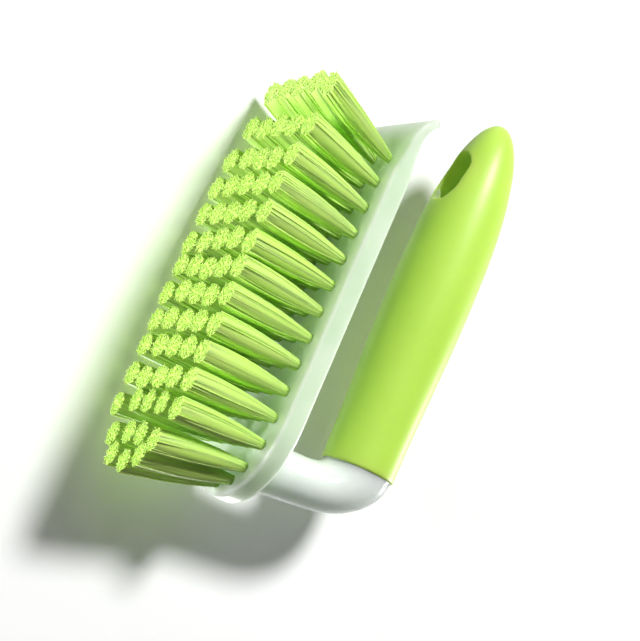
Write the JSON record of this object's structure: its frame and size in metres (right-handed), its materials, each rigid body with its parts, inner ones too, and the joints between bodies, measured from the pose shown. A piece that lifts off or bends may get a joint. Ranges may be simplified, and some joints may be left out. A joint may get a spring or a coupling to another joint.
{
  "type": "palm brush",
  "caption": "Palm brush with a frosted block, a looped handle in a soft grip with a hanging hole, and fanned bristle tufts.",
  "frame": {"origin": "centre of the overall box in X and Y, at the level of the bristle tips", "axes": "+Z from the bristle tips up to the handle, +X along the block towards the round heel and the neck, -X towards the free end of the grip, Y across the block with the symmetry plane at Y = 0"},
  "size_m": [0.1671, 0.058, 0.0955],
  "materials": {
    "frosted_plastic": "frosted, translucent",
    "grip_rubber": "satin",
    "bristle": "satin",
    "anchor_steel": "brushed"
  },
  "bodies": {
    "root": {"brush_body": "frosted_plastic", "grip_sleeve": "grip_rubber", "tuft_anchors": "anchor_steel", "tuft_row_01": "bristle", "tuft_row_02": "bristle", "tuft_row_03": "bristle", "tuft_row_04": "bristle", "tuft_row_05": "bristle", "tuft_row_06": "bristle", "tuft_row_07": "bristle", "tuft_row_08": "bristle", "tuft_row_09": "bristle", "tuft_row_10": "bristle", "tuft_row_11": "bristle", "tuft_row_12": "bristle", "tuft_row_13": "bristle", "tuft_row_14": "bristle"}
  },
  "joints": []
}
